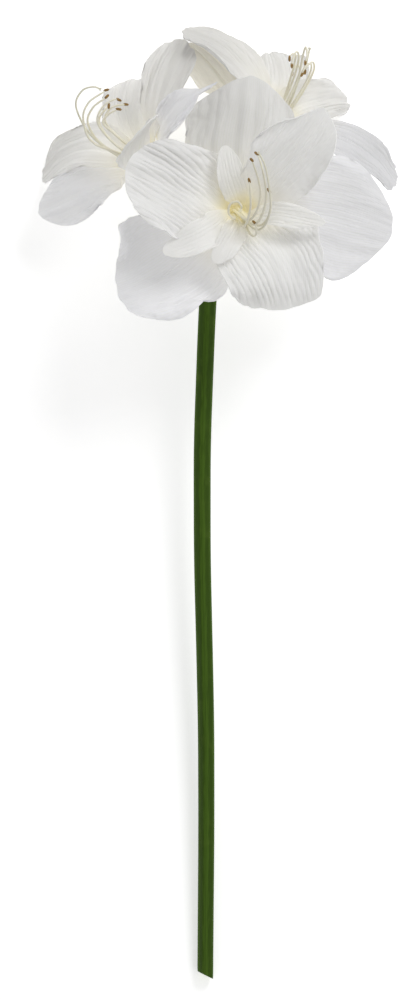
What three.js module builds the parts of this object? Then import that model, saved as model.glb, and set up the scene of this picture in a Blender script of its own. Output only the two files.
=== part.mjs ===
// A cut amaryllis: three open white flowers on one leafless green stem, lying on a flat surface.
//
// The stem lies along +Y with its cut end at -Y, and the flowers' heads are at +Y. The surface is
// the plane z = 0. The stem end, the back petals of the left flower and the back petals of the
// right flower touch that surface. Points are written in millimetres, x and y from the knuckle at
// the top of the stem where the three flower stalks meet, z above the surface. At the end the
// whole flower is moved so that its origin is under the middle of its box.

import * as THREE from "three";
import { LoftGeometry } from "three/addons/geometries/LoftGeometry.js";

// Stem
const STEM_LENGTH = 536;
const STEM_TOP_RADIUS = 6.4;
const STEM_END_RADIUS = 5.8;
const STEM_CUT_SLOPE = 0.5;
const KNUCKLE_HEIGHT = 45;
const KNUCKLE_RADIUS = 7;

// Stalk, ovary and tube. The petals sit on the tube's rim in layers, the outer ring outermost.
const STALK_RADIUS = 3.1;
const OVARY_RADIUS = 5.4;
const THROAT_RADIUS = 5.2;
const THROAT_DEPTH = 11;
const GAP = 0.3;

// Petals: half width, outward lean and radius of the seat for each ring. A petal reaches its lean
// at the rise above its seat.
const PETAL_THICKNESS = 1.2;
const PETAL_RISE = 5;
const PETAL_BASE_WIDTH = { outer: 7.2, inner: 5.6, small: 2.6, bract: 7 };
const PETAL_LEAN = { outer: 4.6, inner: 1.6, small: 0.6, bract: 1.5 };
const PETAL_LAYER = PETAL_THICKNESS + 2 * GAP;
const PETAL_SEAT_RADIUS = {
  small: THROAT_RADIUS + PETAL_LAYER / 2,
  inner: THROAT_RADIUS + 1.5 * PETAL_LAYER,
  outer: THROAT_RADIUS + 2.5 * PETAL_LAYER,
  bract: STEM_TOP_RADIUS + GAP + PETAL_THICKNESS / 2,
};
const TUBE_RADIUS = THROAT_RADIUS + 3 * PETAL_LAYER;
const RUFFLE_WAVES = 1.6;
const RUFFLE_SHIFT = 0.13;
const PETAL_ROWS = 8;
const PETAL_COLUMNS = [-1, -0.82, -0.5, 0, 0.5, 0.82, 1];

// Stamens and pistils
const FILAMENT_RADIUS = [0.95, 0.6];
const ANTHER_RADIUS = 1.3;
const STAMEN_RING_RADIUS = 3.6;
const STYLE_RADIUS = [0.9, 0.7];
const STIGMA_RADIUS = 1.7;

const CREAM_WHITE = { color: 0xf4f3ee, roughness: 0.65, metalness: 0 };
const THROAT_GREEN = { color: 0xb9c07a, roughness: 0.6, metalness: 0 };
const STEM_GREEN = { color: 0x3f5a1f, roughness: 0.5, metalness: 0 };
const FILAMENT_CREAM = { color: 0xe6dcae, roughness: 0.6, metalness: 0 };
const PISTIL_CREAM = { color: 0xefe6c4, roughness: 0.6, metalness: 0 };
const BRACT_TAN = { color: 0xb7a377, roughness: 0.9, metalness: 0 };

const amaryllis = new THREE.Group();

function addPiece(name, geometry, finish) {
  const piece = new THREE.Mesh(geometry, new THREE.MeshStandardMaterial(finish));
  piece.name = name;
  amaryllis.add(piece);
}

const point = (p) => new THREE.Vector3(...p);

function smoothCurve(points) {
  const curve = new THREE.CatmullRomCurve3(points, false, "catmullrom", 0.5);
  curve.arcLengthDivisions = 300;
  return curve;
}

// The value at share s of a list of evenly spaced values, on a smooth curve that starts level.
function valueAlong(values, s) {
  const place = s * (values.length - 1);
  const k = Math.min(Math.floor(place), values.length - 2);
  const t = place - k;
  const at = (i) => values[i < 0 ? 1 : Math.min(i, values.length - 1)];
  const [a, b, c, d] = [at(k - 1), at(k), at(k + 1), at(k + 2)];
  return b + 0.5 * t * (c - a + t * (2 * a - 5 * b + 4 * c - d + t * (3 * (b - c) + d - a)));
}

// A round strand along a path, whose radius follows a list of [share of length, radius].
function strandGeometry(path, profile, sides) {
  const curve = smoothCurve(path);
  const frameCount = 200;
  const frames = curve.computeFrenetFrames(frameCount);
  const rings = profile.map(([share, radius]) => {
    const k = Math.round(share * frameCount);
    const centre = curve.getPointAt(k / frameCount);
    return Array.from({ length: sides }, (_, i) => {
      const angle = (2 * Math.PI * i) / sides;
      return centre
        .clone()
        .addScaledVector(frames.normals[k], radius * Math.cos(angle))
        .addScaledVector(frames.binormals[k], radius * Math.sin(angle));
    });
  });
  return new LoftGeometry(rings, { capStart: true, capEnd: true });
}

// Stem: a little bowed to the left, rising from its slanted cut to the knuckle. The bow lists how
// far across it lies at a distance below the knuckle.
const STEM_BOW = [
  [0, 0],
  [-4.2, 68],
  [-7.6, 160],
  [-7.5, 240],
  [-6, 300],
  [-4.7, 360],
  [-4.5, 430],
  [-5.3, STEM_LENGTH],
];
const STEM_SIDES = 16;

function stemRing(x, below, radius, slope) {
  const rise = KNUCKLE_HEIGHT - (below / STEM_LENGTH) * (KNUCKLE_HEIGHT - STEM_END_RADIUS);
  return Array.from({ length: STEM_SIDES }, (_, i) => {
    const angle = (2 * Math.PI * i) / STEM_SIDES;
    const across = radius * Math.sin(angle);
    return new THREE.Vector3(x + across, -below - slope * across, rise + radius * Math.cos(angle));
  });
}

function makeStem() {
  const rings = STEM_BOW.slice(1)
    .reverse()
    .map(([x, below], i) => {
      const share = below / STEM_LENGTH;
      const radius = THREE.MathUtils.lerp(STEM_TOP_RADIUS, STEM_END_RADIUS, share);
      return stemRing(x, below, radius, i === 0 ? STEM_CUT_SLOPE : 0);
    });
  rings.push(stemRing(-1, 14, STEM_TOP_RADIUS, 0));
  for (const turn of [-30, -5, 20, 45, 65, 80]) {
    const angle = THREE.MathUtils.degToRad(turn);
    rings.push(stemRing(0, -KNUCKLE_RADIUS * Math.sin(angle), KNUCKLE_RADIUS * Math.cos(angle), 0));
  }
  addPiece("stem", new LoftGeometry(rings, { capStart: true, capEnd: true }), STEM_GREEN);
}

// A flower's own directions: forward out of its mouth, and two across it. A seat is an angle
// round the mouth.
function flowerFrame(flower) {
  const forward = point(flower.forward).normalize();
  const across = new THREE.Vector3().crossVectors(forward, new THREE.Vector3(0, 0, 1)).normalize();
  const beyond = new THREE.Vector3().crossVectors(forward, across);
  return { mouth: point(flower.mouth), forward, across, beyond };
}

function seatDirection(frame, degrees) {
  const angle = THREE.MathUtils.degToRad(degrees);
  return frame.across
    .clone()
    .multiplyScalar(Math.cos(angle))
    .addScaledVector(frame.beyond, Math.sin(angle));
}

// Stalk, ovary and tube: grown as one piece from the knuckle to the rim, open at the throat.
// The profile gives the radius along the stalk and ovary, and the flare gives it below the rim.
const TUBE_PROFILE = [
  [0, STALK_RADIUS],
  [0.42, STALK_RADIUS],
  [0.58, OVARY_RADIUS * 0.9],
  [0.72, OVARY_RADIUS],
  [0.86, OVARY_RADIUS * 0.85],
  [1, OVARY_RADIUS],
];
const TUBE_FLARE = [
  [9, TUBE_RADIUS * 0.76],
  [4, TUBE_RADIUS * 0.93],
  [0, TUBE_RADIUS],
];
const TUBE_SIDES = 14;
const TUBE_LENGTH = 14;

function makeTube(flower, frame) {
  const knuckle = new THREE.Vector3(0, 0, KNUCKLE_HEIGHT);
  const neck = frame.mouth.clone().addScaledVector(frame.forward, -TUBE_LENGTH);
  const toNeck = neck.clone().sub(knuckle).normalize();
  const start = knuckle.clone().addScaledVector(toNeck, KNUCKLE_RADIUS + GAP);
  const curve = smoothCurve([
    start,
    start.clone().addScaledVector(toNeck, neck.distanceTo(start) * 0.5),
    neck,
    frame.mouth.clone(),
  ]);
  const ring = (centre, forward, radius) => {
    const across = frame.across.clone().addScaledVector(forward, -frame.across.dot(forward)).normalize();
    const beyond = new THREE.Vector3().crossVectors(forward, across);
    return Array.from({ length: TUBE_SIDES }, (_, i) => {
      const angle = (2 * Math.PI * i) / TUBE_SIDES;
      return centre
        .clone()
        .addScaledVector(across, radius * Math.cos(angle))
        .addScaledVector(beyond, radius * Math.sin(angle));
    });
  };
  const neckShare = 1 - TUBE_LENGTH / curve.getLength();
  const rings = TUBE_PROFILE.map(([share, radius]) => {
    const along = share * neckShare;
    return ring(curve.getPointAt(along), curve.getTangentAt(along), radius);
  });
  const throat = [
    [0, THROAT_RADIUS],
    [THROAT_DEPTH, THROAT_RADIUS],
    [THROAT_DEPTH, 0],
  ];
  for (const [depth, radius] of [...TUBE_FLARE, ...throat]) {
    const centre = frame.mouth.clone().addScaledVector(frame.forward, -depth);
    rings.push(ring(centre, frame.forward, radius));
  }
  const geometry = new LoftGeometry(rings, { capStart: true });
  addPiece(flower.name + "_stalk_and_tube", geometry, THROAT_GREEN);
}

// A petal is a sheet swept along its midrib. Its half widths to the left and right of the midrib
// are seen from inside the flower with the tip up, at a third, two thirds and the whole of its
// length. cup is the angle by which its edges rise at the middle and at the tip, and roll turns
// its face about the midrib, in degrees. round and point are the shares of the length by which
// its sides stop short of the tip, on an arc and on a straight line. ruffle is the height of its
// wavy edge.
function petalSheet(frame, petal) {
  const seat = seatDirection(frame, petal.seat);
  const seatRadius = PETAL_SEAT_RADIUS[petal.ring];
  const onSeat = (forward, spread) =>
    frame.mouth
      .clone()
      .addScaledVector(seat, seatRadius + spread)
      .addScaledVector(frame.forward, forward);
  const base = [onSeat(2 * GAP, 0), onSeat(PETAL_RISE, PETAL_LEAN[petal.ring])];
  const midrib = smoothCurve([...base, ...petal.midrib.map(point)]);
  const baseWidth = PETAL_BASE_WIDTH[petal.ring];
  const baseCup = baseWidth / seatRadius;
  const left = [baseWidth, ...petal.left];
  const right = [baseWidth, ...petal.right];
  const cups = [baseCup, petal.cup[0], petal.cup[0], petal.cup[1]];

  return (u, v) => {
    const sideReach = petal.round * (1 - Math.sqrt(1 - v * v)) + petal.point * Math.abs(v);
    const s = u * (1 - sideReach);
    const centre = midrib.getPointAt(s);
    const along = midrib.getTangentAt(s);
    const fromAxis = centre.clone().sub(frame.mouth);
    fromAxis.addScaledVector(frame.forward, -fromAxis.dot(frame.forward)).normalize();
    const face = frame.forward.clone().sub(fromAxis);
    face.addScaledVector(along, -face.dot(along)).normalize();
    const across = new THREE.Vector3().crossVectors(along, face);
    const turn = THREE.MathUtils.degToRad(petal.roll) * THREE.MathUtils.smoothstep(s, 0.1, 0.7);
    face.applyAxisAngle(along, turn);
    across.applyAxisAngle(along, turn);
    const width = valueAlong(v < 0 ? left : right, s);
    const cup = valueAlong(cups, s) || 1e-3;
    const angle = cup * v;
    const phase = RUFFLE_WAVES * u + RUFFLE_SHIFT * petal.seat * Math.sign(v);
    const wave = petal.ruffle * Math.abs(v) ** 2.5 * Math.sin(2 * Math.PI * phase);
    const normal = face.clone().multiplyScalar(Math.cos(angle)).addScaledVector(across, -Math.sin(angle));
    const surface = centre
      .clone()
      .addScaledVector(across, (width * Math.sin(angle)) / cup)
      .addScaledVector(face, (width * (1 - Math.cos(angle))) / cup)
      .addScaledVector(normal, wave * THREE.MathUtils.smoothstep(s, 0.2, 0.6));
    return { surface, normal };
  };
}

function addSheet(name, frame, petal, finish) {
  const sheet = petalSheet(frame, petal);
  const sections = [];
  for (let row = 0; row <= PETAL_ROWS; row++) {
    const line = PETAL_COLUMNS.map((v) => sheet(row / PETAL_ROWS, v));
    const half = row < PETAL_ROWS ? PETAL_THICKNESS / 2 : 0;
    const side = (lift) => ({ surface, normal }) => surface.clone().addScaledVector(normal, lift);
    sections.push([...line.map(side(half)), ...line.map(side(-half)).reverse()]);
  }
  addPiece(name, new LoftGeometry(sections, { capStart: true }), finish);
}

// Two papery bracts at the knuckle: one bent back along the stem, one hanging under the stalks.
const BRACTS = [
  { name: "bract_upper", mouth: [0, -5, KNUCKLE_HEIGHT], forward: [0, -1, 0], seat: 270, ring: "bract",
    midrib: [[0, -18, 57], [1, -31, 59], [3, -44, 56]],
    left: [8, 7, 2], right: [8, 7, 2], cup: [0.9, 0.6], roll: 0,
    round: 0.3, point: 0.3, ruffle: 0.5 },
  { name: "bract_lower", mouth: [0, -5, KNUCKLE_HEIGHT], forward: [0, 1, 0], seat: 90, ring: "bract",
    midrib: [[0, 12, 32], [-2, 27, 27], [-5, 41, 19]],
    left: [8, 7, 2], right: [8, 7, 2], cup: [0.9, 0.6], roll: 0,
    round: 0.3, point: 0.3, ruffle: 0.5 },
];

// A stamen: a thin filament rooted in the throat, with a swollen anther at its end.
function makeStamen(flower, frame, stamen, index) {
  const seat = seatDirection(frame, 60 * index + 30);
  const inThroat = (forward, spread) =>
    frame.mouth.clone().addScaledVector(frame.forward, forward).addScaledVector(seat, spread);
  const root = inThroat(GAP - THROAT_DEPTH, STAMEN_RING_RADIUS);
  const collar = inThroat(0, STAMEN_RING_RADIUS * 0.9);
  const [thick, thin] = FILAMENT_RADIUS;
  const profile = [
    [0, thick],
    [0.15, thick],
    [0.3, thick],
    [0.42, (thick + thin) / 2],
    [0.54, thin],
    [0.66, thin],
    [0.78, thin],
    [0.87, thin],
    [0.92, thin],
    [0.935, ANTHER_RADIUS],
    [0.98, ANTHER_RADIUS],
    [1, thin],
  ];
  const geometry = strandGeometry([root, collar, ...stamen.map(point)], profile, 6);
  addPiece(flower.name + "_stamen_" + (index + 1), geometry, FILAMENT_CREAM);
}

// The pistil: one style rooted in the middle of the throat, longer than the stamens.
function makePistil(flower, frame) {
  const root = frame.mouth.clone().addScaledVector(frame.forward, GAP - THROAT_DEPTH);
  const collar = frame.mouth.clone();
  const [thick, thin] = STYLE_RADIUS;
  const profile = [0, 0.12, 0.24, 0.36, 0.48, 0.6, 0.7, 0.8, 0.9].map((share) => [
    share,
    THREE.MathUtils.lerp(thick, thin, share),
  ]);
  profile.push([0.97, thin], [0.985, STIGMA_RADIUS], [1, STIGMA_RADIUS * 0.7]);
  const geometry = strandGeometry([root, collar, ...flower.style.map(point)], profile, 6);
  addPiece(flower.name + "_pistil", geometry, PISTIL_CREAM);
}

const FRONT_FLOWER = {
  name: "front",
  mouth: [17, 2, 84],
  forward: [0.25, 0.12, 1],
  petals: [
    { name: "lower_right", seat: 0, ring: "inner",
      midrib: [[28, -17, 108], [38, -33, 121], [44, -50, 125], [46, -67, 118]],
      left: [34, 38, 29], right: [24, 34, 26], cup: [0.2, -0.1], roll: 10,
      round: 0.12, point: 0, ruffle: 3 },
    { name: "right", seat: 60, ring: "outer",
      midrib: [[50, 5, 97], [78, 2, 98], [104, -4, 95], [126, -11, 89]],
      left: [32, 37, 22], right: [30, 46, 35], cup: [0.1, -0.1], roll: 0,
      round: 0.35, point: 0, ruffle: 3 },
    { name: "upper_right", seat: 120, ring: "inner",
      midrib: [[36, 24, 109], [52, 42, 123], [66, 58, 130], [77, 75, 134]],
      left: [18, 25, 13], right: [25, 29, 34], cup: [0.5, 0.3], roll: 0,
      round: 0.25, point: 0.12, ruffle: 2 },
    { name: "top", seat: 180, ring: "outer",
      midrib: [[19, 32, 94], [21, 54, 103], [24, 77, 109], [26, 98, 110]],
      left: [36, 41, 29], right: [29, 42, 32], cup: [-0.9, -1.1], roll: -6,
      round: 0.32, point: 0.08, ruffle: 3 },
    { name: "left", seat: 240, ring: "inner",
      midrib: [[-5, 10, 113], [-24, 20, 127], [-44, 28, 134], [-60, 34, 134]],
      left: [24, 35, 29], right: [20, 29, 30], cup: [0.35, 0.1], roll: 0,
      round: 0.3, point: 0, ruffle: 3 },
    { name: "lower_left", seat: 300, ring: "outer",
      midrib: [[-6, -17, 97], [-24, -32, 107], [-45, -46, 112], [-67, -55, 108]],
      left: [37, 36, 27], right: [31, 46, 38], cup: [0.4, 0.3], roll: 0,
      round: 0.24, point: 0, ruffle: 3 },
    { name: "small_right", seat: 30, ring: "small",
      midrib: [[43, 1, 119], [62, -2, 127], [79, -6, 130]],
      left: [7, 8, 4], right: [7, 8, 4], cup: [0.2, 0.1], roll: 0,
      round: 0.3, point: 0.1, ruffle: 1 },
    { name: "small_top", seat: 150, ring: "small",
      midrib: [[13, 24, 120], [10, 37, 128], [8, 48, 131]],
      left: [7, 8, 6], right: [7, 8, 6], cup: [0.2, 0.1], roll: 0,
      round: 0.3, point: 0, ruffle: 1 },
    { name: "small_left", seat: 270, ring: "small",
      midrib: [[-3, -13, 130], [-19, -21, 138], [-35, -27, 139]],
      left: [6.5, 8.5, 7], right: [8, 9, 6], cup: [0.2, 0.1], roll: 0,
      round: 0.3, point: 0, ruffle: 1 },
    { name: "small_lower", seat: 330, ring: "small",
      midrib: [[11, -16, 121], [5, -25, 130], [-0.5, -34, 132]],
      left: [6, 8, 7], right: [4.5, 5.5, 6.5], cup: [0.2, 0.1], roll: 0,
      round: 0.3, point: 0, ruffle: 1 },
  ],
  stamens: [
    [[25, -12, 109], [28, -15, 118], [30, -14, 126], [30, -9, 129], [28, -4, 129]],
    [[30, -7, 112], [36, -6, 126], [40, 2, 136], [40, 11, 141], [38.5, 18, 142]],
    [[28, -5, 122], [34, 1, 138], [37, 13, 150], [35, 27, 157], [32, 38, 159], [29, 43, 158]],
    [[24, -4, 121], [30, 1, 137], [33, 13, 147], [31, 25, 152], [28, 34, 153], [26, 39, 152]],
    [[15, -3, 108], [11, 1, 113], [12, 7, 117], [17, 9, 118], [20, 5, 116], [18, 1, 113]],
    [[20, -8, 112], [23, -7, 127], [26, 3, 137], [26, 15, 142], [25, 25, 143]],
  ],
  style: [[29, -10, 116], [36, -8, 131], [40, 4, 146], [39, 18, 156], [36, 33, 163], [31, 43, 165]],
};

const LEFT_FLOWER = {
  name: "left",
  mouth: [-43, 36, 62],
  forward: [-0.725, 0.544, 0.42],
  petals: [
    { name: "upper", seat: 0, ring: "inner",
      midrib: [[-42, 60, 70], [-39, 84, 76], [-31, 106, 78], [-20, 124, 74]],
      left: [13, 16, 13], right: [9, 22, 19], cup: [0.4, 0.2], roll: 40,
      round: 0.16, point: 0.02, ruffle: 2 },
    { name: "back_upper", seat: 60, ring: "outer",
      midrib: [[-56, 57, 50], [-62, 76, 40], [-61, 91, 21], [-58, 99, 0.1]],
      left: [13, 15, 11], right: [12, 20, 15], cup: [0.2, 0], roll: 50,
      round: 0.35, point: 0, ruffle: 2 },
    { name: "back_lower", seat: 120, ring: "inner",
      midrib: [[-68, 44, 54], [-88, 48, 43], [-107, 42, 24], [-121, 28, 0.1]],
      left: [13, 16, 11], right: [13, 16, 11], cup: [0.4, 0.3], roll: 0,
      round: 0.25, point: 0.02, ruffle: 2 },
    { name: "lower", seat: 180, ring: "outer",
      midrib: [[-60, 26, 56], [-83, 20, 50], [-105, 9, 43], [-123, 2, 35]],
      left: [10, 17, 13], right: [9, 16, 16], cup: [0.2, 0], roll: -55,
      round: 0.3, point: 0.03, ruffle: 2 },
    { name: "near_lower", seat: 240, ring: "inner",
      midrib: [[-50, 40, 84], [-52, 49, 100], [-47, 59, 113], [-38, 70, 119]],
      left: [12, 17, 10], right: [16, 22, 14], cup: [0.4, 0.2], roll: 0,
      round: 0.3, point: 0, ruffle: 2 },
    { name: "near_upper", seat: 300, ring: "outer",
      midrib: [[-39, 50, 86], [-28, 67, 100], [-13, 83, 105], [4, 93, 101]],
      left: [13, 16, 6], right: [11, 10, 3], cup: [0.3, 0.3], roll: 45,
      round: 0.3, point: 0.2, ruffle: 1 },
  ],
  stamens: [
    [[-60, 50, 68], [-71, 60, 72], [-76, 68, 76], [-71, 76, 78], [-63, 78, 79], [-59, 78, 79]],
    [[-64, 47, 66], [-75, 57, 70], [-80, 66, 74], [-78, 72, 77], [-74, 76, 78], [-72, 79, 78]],
    [[-66, 43, 68], [-81, 53, 74], [-88, 66, 80], [-84, 76, 84], [-76, 82, 86], [-73, 85, 86]],
    [[-64, 43, 77], [-85, 52, 84], [-91, 68, 91], [-87, 79, 94], [-77, 86, 95], [-73, 89, 95]],
    [[-63, 46, 82], [-74, 55, 88], [-81, 66, 93], [-77, 76, 96], [-69, 81, 97], [-64, 80, 97]],
    [[-60, 50, 80], [-70, 58, 85], [-77, 65, 88], [-73, 71, 90], [-67, 74, 91], [-64, 75, 91]],
  ],
  style: [[-66, 42, 72], [-86, 57, 80], [-96, 76, 88], [-92, 87, 92], [-84, 90, 93], [-78, 88, 92]],
};

const RIGHT_FLOWER = {
  name: "right",
  mouth: [38, 57, 52],
  forward: [0.579, 0.74, 0.342],
  petals: [
    { name: "lower", seat: 0, ring: "outer",
      midrib: [[67, 60, 62], [93, 55, 68], [114, 41, 60], [129, 23, 45]],
      left: [14, 13, 14], right: [14, 17, 12], cup: [0.2, 0.1], roll: 60,
      round: 0.1, point: 0, ruffle: 2 },
    { name: "back_lower", seat: 60, ring: "inner",
      midrib: [[60, 71, 42], [80, 78, 30], [90, 80, 16], [97, 80, 0.1]],
      left: [24, 19, 13], right: [11, 9, 5], cup: [0.3, 0.1], roll: 40,
      round: 0.3, point: 0, ruffle: 2 },
    { name: "back_upper", seat: 120, ring: "outer",
      midrib: [[44, 81, 40], [46, 99, 30], [44, 112, 17], [41, 118, 0.1]],
      left: [13, 14, 8], right: [18, 22, 9], cup: [0.2, 0], roll: -40,
      round: 0.35, point: 0, ruffle: 2 },
    { name: "upper", seat: 180, ring: "inner",
      midrib: [[33, 82, 62], [21, 102, 72], [4, 118, 79], [-22, 129, 82]],
      left: [24, 23, 19], right: [31, 22, 15], cup: [0.4, 0.3], roll: -8,
      round: 0.2, point: 0, ruffle: 2 },
    { name: "near_upper", seat: 240, ring: "outer",
      midrib: [[22, 74, 72], [8, 92, 78], [-6, 109, 79], [-18, 121, 76]],
      left: [12, 13, 8], right: [9, 15, 13], cup: [0.3, 0.2], roll: 95,
      round: 0.2, point: 0, ruffle: 1 },
    { name: "near_lower", seat: 300, ring: "inner",
      midrib: [[50, 62, 70], [58, 66, 80], [61, 64, 88], [60, 60, 94]],
      left: [7, 11, 8], right: [9, 11, 8], cup: [0.4, 0.2], roll: 0,
      round: 0.3, point: 0, ruffle: 1 },
  ],
  stamens: [
    [[56, 77, 60], [66, 92, 68], [71, 103, 74], [70, 108, 77], [66, 105, 79], [64, 99, 79]],
    [[52, 78, 58], [58, 91, 63], [61, 101, 67], [60, 106, 70], [57, 104, 71], [55, 98, 70]],
    [[48, 78, 64], [53, 92, 71], [57, 106, 78], [58, 113, 81], [55, 113, 83], [53, 108, 83]],
    [[49, 80, 68], [56, 95, 76], [60, 109, 83], [59, 115, 87], [56, 110, 89], [55, 103, 89]],
    [[52, 80, 72], [60, 98, 81], [63, 112, 88], [65, 118, 91], [66, 112, 93], [64, 105, 93]],
    [[55, 77, 68], [65, 93, 76], [69, 103, 81], [68, 107, 84], [64, 103, 86], [62, 97, 86]],
  ],
  style: [[53, 78, 63], [60, 95, 72], [65, 106, 78], [67, 113, 81], [68, 118, 82]],
};

makeStem();
BRACTS.forEach((bract) => addSheet(bract.name, flowerFrame(bract), bract, BRACT_TAN));
for (const flower of [FRONT_FLOWER, LEFT_FLOWER, RIGHT_FLOWER]) {
  const frame = flowerFrame(flower);
  makeTube(flower, frame);
  flower.petals.forEach((petal) => {
    addSheet(flower.name + "_petal_" + petal.name, frame, petal, CREAM_WHITE);
  });
  flower.stamens.forEach((stamen, index) => makeStamen(flower, frame, stamen, index));
  makePistil(flower, frame);
}

const box = new THREE.Box3().setFromObject(amaryllis);
const middle = box.getCenter(new THREE.Vector3());
amaryllis.position.set(-middle.x, -middle.y, -box.min.z);

export default amaryllis;
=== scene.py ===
# A cut amaryllis lying on a pale surface: a green stem, three stalks from one knuckle, and a
# large white flower on each. The sections follow the plant from the cut end up to the flowers.
# Lengths are written in millimetres, and points are counted from the foot of the knuckle.

import math
import random

import bmesh
import bpy
import numpy as np
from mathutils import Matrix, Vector, noise


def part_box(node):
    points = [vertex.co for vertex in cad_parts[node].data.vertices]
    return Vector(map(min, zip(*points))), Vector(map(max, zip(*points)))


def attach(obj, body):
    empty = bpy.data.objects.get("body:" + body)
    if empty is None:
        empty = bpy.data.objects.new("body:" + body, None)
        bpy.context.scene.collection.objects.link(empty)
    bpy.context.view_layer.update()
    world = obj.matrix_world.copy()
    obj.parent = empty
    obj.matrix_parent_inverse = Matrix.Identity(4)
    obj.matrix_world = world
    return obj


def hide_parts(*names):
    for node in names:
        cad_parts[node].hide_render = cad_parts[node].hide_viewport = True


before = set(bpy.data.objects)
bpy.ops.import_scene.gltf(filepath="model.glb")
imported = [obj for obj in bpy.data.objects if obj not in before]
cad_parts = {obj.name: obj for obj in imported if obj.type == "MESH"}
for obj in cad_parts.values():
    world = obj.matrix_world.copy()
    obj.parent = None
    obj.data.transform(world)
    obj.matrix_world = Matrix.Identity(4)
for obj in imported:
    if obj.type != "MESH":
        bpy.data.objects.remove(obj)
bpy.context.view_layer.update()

MM = 0.001

# Stem
# A leafless flower stalk, round with faint flat sides, waxy and dark green. It bows a little,
# rises from its slanted cut, and ends in the knuckle from which the flower stalks grow.
STEM_LENGTH = 536
STEM_TOP_RADIUS = 6.4
STEM_END_RADIUS = 5.8
STEM_CUT_SLOPE = 0.5
STEM_BOW = [(0, 0), (-1, 14), (-4.2, 68), (-7.6, 160), (-7.5, 240), (-6, 300), (-4.7, 360), (-4.5, 430),
            (-5.3, STEM_LENGTH)]
BOW_SMOOTHING = 8
STEM_FLAT_SIDES = 5
STEM_FLAT_DEPTH = 0.22
STEM_FLAT_TWIST = 0.002
STEM_SIDES = 72
STEM_RING_STEP = 3
KNUCKLE_HEIGHT = 45
KNUCKLE_RADIUS = 7
KNUCKLE_TURNS = range(-30, 86, 8)
KNUCKLE_WIDEST_TURN = 5
KNUCKLE_TOP_TURN = 80
CUT_EDGE = 0.35
CUT_SLOPE_LENGTH = 12
CUT_HOLLOW_RADIUS = 2.9
CUT_HOLLOW_DEPTH = 9
STEM_GREEN = (0.058, 0.118, 0.009, 1)
STEM_DARK_GREEN = (0.035, 0.075, 0.004, 1)
STEM_PALE_GREEN = (0.1, 0.165, 0.022, 1)
# Strength of the painted highlight and shade: the stem's green is lighter in bands round it, the lightest
# facing straight up.
STEM_PAINTED_BAND_CONTRAST = 0.24
CUT_FLESH = (0.55, 0.6, 0.34, 1)
CUT_FLESH_DARK = (0.42, 0.5, 0.24, 1)

stem_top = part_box("stem")[1]
knuckle = Vector((
    stem_top.x - KNUCKLE_RADIUS * MM * math.cos(math.radians(KNUCKLE_WIDEST_TURN)),
    stem_top.y - KNUCKLE_RADIUS * MM * math.sin(math.radians(KNUCKLE_TOP_TURN)),
    0,
))


def in_frame(point):
    """A point given in millimetres from the foot of the knuckle, as a place in the frame."""
    return Vector(point) * MM + knuckle


def mesh_of(name, points, faces, values=None, edges=()):
    """A mesh with points in metres, and a named value for each point."""
    mesh = bpy.data.meshes.new(name)
    mesh.from_pydata([tuple(p) for p in points], edges, faces)
    for key, numbers in (values or {}).items():
        mesh.attributes.new(key, "FLOAT", "POINT").data.foreach_set("value", numbers)
    return mesh


SHARP_EDGE = math.radians(55)


def outwards(mesh):
    """Turns a closed mesh's faces outwards and shades it smooth, but for its sharp edges."""
    shape = bmesh.new()
    shape.from_mesh(mesh)
    if shape.calc_volume(signed=True) < 0:
        bmesh.ops.reverse_faces(shape, faces=shape.faces)
    shape.to_mesh(mesh)
    shape.free()
    mesh.shade_smooth()
    mesh.set_sharp_from_angle(angle=SHARP_EDGE)
    return mesh


def ring_faces(rings, sides):
    """Faces of a tube made of rings of points, with both ends closed by a fan."""
    faces = []
    for ring in range(rings - 1):
        for side in range(sides):
            beside = (side + 1) % sides
            low, high = ring * sides, (ring + 1) * sides
            faces.append((low + side, low + beside, high + beside, high + side))
    first, last = rings * sides, rings * sides + 1
    for side in range(sides):
        beside = (side + 1) % sides
        faces.append((beside, side, first))
        faces.append(((rings - 1) * sides + side, (rings - 1) * sides + beside, last))
    return faces


def stem_rise(place):
    """Height of the stem's middle at a distance below the knuckle, sloping to the surface."""
    return KNUCKLE_HEIGHT - place / STEM_LENGTH * (KNUCKLE_HEIGHT - STEM_END_RADIUS)


def stem_rings():
    """For each ring: distance below the knuckle, sideways place, radius, cut flesh, cut slope."""
    first_turn = KNUCKLE_RADIUS * math.sin(math.radians(-KNUCKLE_TURNS[0]))
    below = np.arange(STEM_LENGTH, first_turn + 1, -STEM_RING_STEP)
    sideways, along = np.array(STEM_BOW, float).T
    bow = np.pad(np.interp(below, along, sideways), BOW_SMOOTHING, "edge")
    window = 2 * BOW_SMOOTHING + 1
    bow = np.convolve(bow, np.ones(window) / window, "valid")
    hollow = STEM_LENGTH - CUT_HOLLOW_DEPTH
    rings = [
        (hollow, bow[0], CUT_HOLLOW_RADIUS * 0.8, 1, 1),
        (STEM_LENGTH, bow[0], CUT_HOLLOW_RADIUS, 1, 1),
        (STEM_LENGTH, bow[0], CUT_HOLLOW_RADIUS + 0.5, 1, 1),
        (STEM_LENGTH, bow[0], STEM_END_RADIUS - CUT_EDGE, 1, 1),
    ]
    for place, middle in zip(below, bow):
        radius = STEM_TOP_RADIUS + (STEM_END_RADIUS - STEM_TOP_RADIUS) * place / STEM_LENGTH
        if place == STEM_LENGTH:
            radius -= CUT_EDGE * 0.3
        slope = max(0, 1 - (STEM_LENGTH - place) / CUT_SLOPE_LENGTH)
        rings.append((place, middle, radius, 0, slope))
    for turn in KNUCKLE_TURNS:
        angle = math.radians(turn)
        rings.append((-KNUCKLE_RADIUS * math.sin(angle), 0, KNUCKLE_RADIUS * math.cos(angle), 0, 0))
    return rings


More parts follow.
